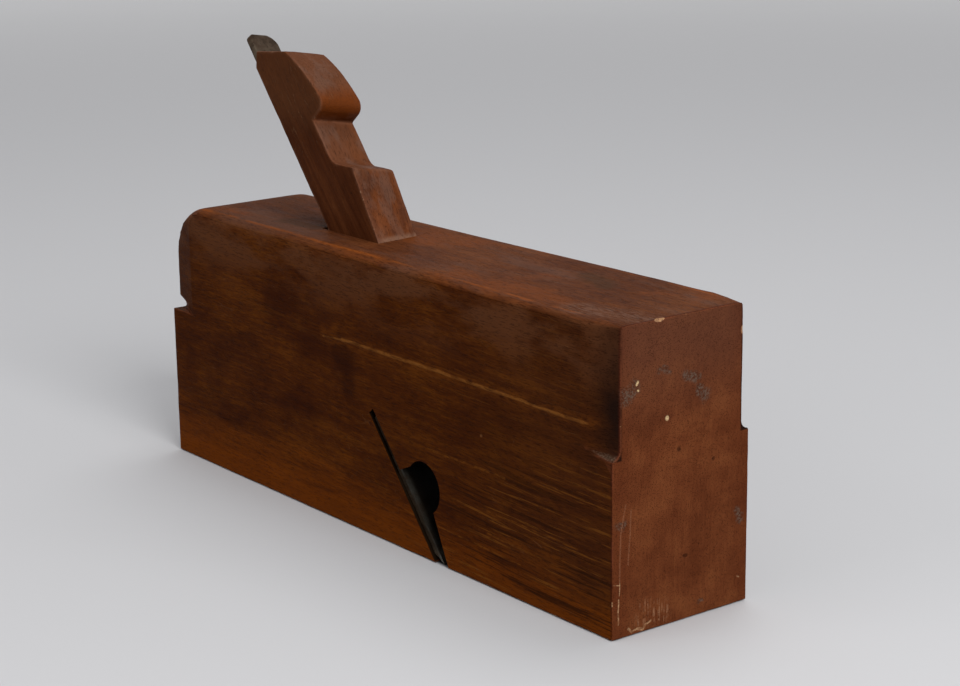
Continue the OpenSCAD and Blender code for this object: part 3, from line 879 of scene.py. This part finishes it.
def wedge_finish():
    """Oiled beech with its grain along the wedge, and worn edges."""
    material, tree, shader, place, facing = finish_of("wedge_beech")
    gap = edge_gap_of(tree)
    along = put(tree, "VectorMath", place, bed_up, operation="DOT_PRODUCT", out=1)
    off = put(tree, "VectorMath", place, bed_off, operation="DOT_PRODUCT", out=1)
    _, y, z = axes_of(tree, place)
    laid = put(tree, "CombineXYZ", along, y, off)
    _, ny, nz = axes_of(tree, facing)
    sides = rise(tree, size_of(tree, ny), 0.6, 0.85)
    fronts = put(tree, "Math", 1.0, sides, operation="SUBTRACT")

    # Clouds, growth layers and fibres along the wedge, redder and lighter on its fronts
    grown = wandered(tree, laid, (18, 40, 40), 0.002)
    cloud = figure(tree, place, (55, 55, 55), 0.9, detail=5.0)
    layers = figure(tree, grown, (14, 200, 230), 1.3, detail=4.0)
    streaks = figure(tree, grown, (35, 800, 1000), 2.3, detail=4.0)
    fibres = figure(tree, grown, (90, 2600, 3000), 3.3)
    pores = rise(tree, figure(tree, grown, (300, 4600, 5000), 4.3, detail=1.0), 0.60, 0.70)
    grain = plus(tree, (0.35, cloud), (0.35, layers), (0.30, streaks))
    side_wood = colours(
        tree, grain,
        (0.40, (0.052, 0.0130, 0.0040)),
        (0.50, (0.074, 0.0205, 0.0066)),
        (0.60, (0.110, 0.0330, 0.0105)),
    )
    front_wood = colours(
        tree, grain,
        (0.40, (0.082, 0.0260, 0.0125)),
        (0.50, (0.112, 0.0380, 0.0180)),
        (0.60, (0.156, 0.0560, 0.0260)),
    )
    colour = over(tree, sides, front_wood, side_wood)

    # Stains: dark and amber clouds, a lighter head, grey rubbed patches, and an amber nose; and
    # painted shade on the faces under the head
    dark = rise(tree, figure(tree, place, (60, 60, 60), 5.3, detail=4.0), 0.48, 0.66)
    colour = over(tree, times(tree, dark, 0.45), colour, (0.044, 0.0115, 0.0036))
    amber = times(tree, rise(tree, figure(tree, place, (45, 90, 45), 6.3), 0.48, 0.62), fronts)
    colour = over(tree, times(tree, amber, 0.45), colour, (0.180, 0.0480, 0.0110))
    lighter = times(tree, rise(tree, z, 0.108, 0.116), fronts)
    colour = over(tree, times(tree, lighter, 0.50), colour, (0.172, 0.0640, 0.0290))
    # Painted shade on the fronts that face down under the head
    under_head_shade = times(tree, rise(tree, nz, 0.05, -0.30), fronts, rise(tree, z, 0.105, 0.110))
    colour = over(tree, times(tree, under_head_shade, 0.85), colour, (0.030, 0.0070, 0.0022))
    upper = times(tree, rise(tree, z, 0.118, 0.130), sides)
    colour = over(tree, times(tree, upper, 0.55), colour, (0.110, 0.0390, 0.0150))
    greyed = rise(tree, figure(tree, laid, (60, 130, 130), 7.3, detail=6.0), 0.47, 0.60)
    colour = over(tree, times(tree, greyed, fronts, 0.50), colour, (0.150, 0.0770, 0.0520))
    nose_off = size_of(tree, plus(tree, (1.0, z), (-nose_height, 1.0)))
    nose = times(tree, rise(tree, nose_off, 0.0075, 0.0020), fronts)
    colour = over(tree, times(tree, nose, 0.85), colour, (0.142, 0.0330, 0.0058))

    # Rubbed edges, pale wood where the wedge meets the stock, nicks, scratches, dots and pores
    patches = rise(tree, figure(tree, place, (110, 110, 110), 8.3), 0.34, 0.58)
    rubbed = times(tree, rise(tree, gap, 0.0014, 0.0002), patches)
    colour = over(tree, times(tree, rubbed, 0.35), colour, (0.210, 0.0900, 0.0500))
    foot = times(tree, rise(tree, z, stock_top + 0.0018, stock_top + 0.0004), fronts, patches)
    colour = over(tree, times(tree, foot, 0.7), colour, (0.230, 0.1250, 0.0800))
    grit = rise(tree, figure(tree, place, (520, 520, 520), 9.3, detail=2.0), 0.66, 0.72)
    nicks = times(tree, rise(tree, gap, 0.0008, 0.0001), grit)
    colour = over(tree, times(tree, nicks, 0.6), colour, (0.320, 0.1800, 0.1050))
    scratches = hairlines(tree, laid, (30, 500, 500), 10.3, 0.53)
    colour = over(tree, times(tree, scratches, 0.4), colour, (0.240, 0.1150, 0.0550))
    dots = specks(tree, place, 90, 0.0004, 0.4)
    colour = over(tree, times(tree, dots, 0.6), colour, (0.020, 0.0075, 0.0040))
    colour = over(tree, times(tree, pores, 0.45), colour, (0.022, 0.0070, 0.0030))
    tree.links.new(colour, shader.inputs["Base Color"])
    gloss = plus(tree, (0.28, streaks), (0.32, 1.0), (-0.06, rubbed))
    tree.links.new(gloss, shader.inputs["Roughness"])
    shader.inputs["Specular IOR Level"].default_value = oil_specular
    relief(
        tree, shader, 0.00018,
        (0.42, streaks), (0.25, fibres), (-0.45, pores), (-0.9, dots), (-0.6, scratches), (-0.9, nicks),
    )
    return material


wedge_wood = whole_copy("wedge_wood", "wedge")
wedge_wood.data.materials.append(wedge_finish())
wedge_edges = soften(
    wedge_wood, wedge_round, lambda place: 1.0 if place.z > rounded_from else mortise_share,
)
score(wedge_wood, bed_up, wedge_step)
score(wedge_wood, bed_off, wedge_step)
score(wedge_wood, Vector((0, 1, 0)), wedge_step)
wedge_gap = note_edge_gap(wedge_wood, wedge_edges)
wedge_gap[points_of(wedge_wood)[:, 2] < rubbed_from] = 1
rub(wedge_wood, "wedge", wedge_gap, depth=0.00035, reach=0.0035, wave=0.008)
shade(wedge_wood)
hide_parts("wedge")
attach(wedge_wood, "wedge")

# The floor
# A broad pale sheet that fades into the backdrop, so that no far edge shows. It throws no
# strong light back on the object, and it has painted shade under the sole, where the mouth shows it.
floor_half = 3.0
floor_drop = 0.0002
fade_start = 0.5
fade_end = 2.6
shadow_edge = 0.002
bpy.ops.object.select_all(action="DESELECT")
bpy.ops.mesh.primitive_plane_add(size=2 * floor_half, location=(0, 0, -floor_drop))
floor = bpy.context.object
floor.name = "floor"
only(floor)
bpy.ops.object.transform_apply(location=True)


def seen(tree):
    """1 where the camera looks, straight or by way of a shiny or a clear surface, and else 0."""
    node = tree.nodes.new("ShaderNodeLightPath")
    ways = ("Is Camera Ray", "Is Glossy Ray", "Is Transmission Ray")
    return most(tree, [node.outputs[way] for way in ways])


floor_paper, floor_tree, floor_shader, floor_place, _ = finish_of("floor_paper")
floor_colour = over(floor_tree, seen(floor_tree), (0.30, 0.30, 0.30), (0.66, 0.66, 0.67))
floor_along, floor_across, _ = axes_of(floor_tree, floor_place)
# Painted shade on the floor under the sole
sole_shade = times(
    floor_tree,
    rise(floor_tree, size_of(floor_tree, floor_along), stock_end, stock_end - shadow_edge),
    rise(floor_tree, size_of(floor_tree, floor_across), stock_side, stock_side - shadow_edge),
)
floor_colour = over(floor_tree, sole_shade, floor_colour, (0.02, 0.02, 0.02))
floor_tree.links.new(floor_colour, floor_shader.inputs["Base Color"])
floor_shader.inputs["Roughness"].default_value = 0.7
floor_shader.inputs["Specular IOR Level"].default_value = 0.1
floor_way = put(floor_tree, "VectorMath", floor_place, operation="LENGTH", out=1)
floor_fade = rise(floor_tree, floor_way, fade_start, fade_end)
floor_clear = floor_tree.nodes.new("ShaderNodeBsdfTransparent")
floor_mix = put(floor_tree, "MixShader", floor_fade, floor_shader.outputs[0], floor_clear.outputs[0])
floor_tree.links.new(floor_mix, floor_tree.nodes["Material Output"].inputs["Surface"])
floor.data.materials.append(floor_paper)

# The light
# A pale even room, and three broad soft lamps: one high beyond the toe, one overhead, and a
# weak one for the right side.
world = bpy.data.worlds.new("room")
bpy.context.scene.world = world
world.use_nodes = True
room_tree = world.node_tree
room = room_tree.nodes["Background"]
room_colour = over(room_tree, seen(room_tree), (0.34, 0.34, 0.35), (0.60, 0.60, 0.61))
room_tree.links.new(room_colour, room.inputs["Color"])
room.inputs["Strength"].default_value = 1
lamp_aim = Vector((0, 0, 0.05))


def lamp(name, place, size, power):
    """A square soft lamp that faces the object."""
    light = bpy.data.lights.new(name, "AREA")
    light.size = size
    light.energy = power
    holder = bpy.data.objects.new(name, light)
    bpy.context.scene.collection.objects.link(holder)
    way = lamp_aim - Vector(place)
    holder.rotation_euler = way.to_track_quat("-Z", "Y").to_euler()
    holder.location = place


lamp("toe_lamp", (1.20, -0.25, 0.85), 0.7, 15.0)
lamp("top_lamp", (-0.20, 0.50, 1.50), 0.8, 5.0)
lamp("side_lamp", (-0.30, -1.40, 0.70), 1.0, 4.0)

# The camera
# It stands off the right side of the toe, a little above, as the photograph was taken.
camera_azimuth = math.radians(52.60)
camera_height = math.radians(14.54)
camera_roll = math.radians(-0.77)
camera_target = Vector((0.02604, 0, 0.0637))
camera_distance = 0.7024
camera_sensor = 36
camera_lens = 84.65
camera = bpy.data.cameras.new("camera")
camera.sensor_width = camera_sensor
camera.lens = camera_lens
camera.clip_start = 0.01
viewer = bpy.data.objects.new("camera", camera)
bpy.context.scene.collection.objects.link(viewer)
level = math.cos(camera_height)
across = Vector((math.cos(camera_azimuth), math.sin(camera_azimuth), 0))
outward = Vector((math.sin(camera_azimuth), -math.cos(camera_azimuth), 0))
back = outward * level + Vector((0, 0, math.sin(camera_height)))
upward = back.cross(across)
turned_across = across * math.cos(camera_roll) + upward * math.sin(camera_roll)
turned_upward = upward * math.cos(camera_roll) - across * math.sin(camera_roll)
aim = Matrix((turned_across, turned_upward, back)).transposed().to_4x4()
viewer.matrix_world = Matrix.Translation(camera_target + back * camera_distance) @ aim
bpy.context.scene.camera = viewer
bpy.context.scene.view_settings.view_transform = "Standard"
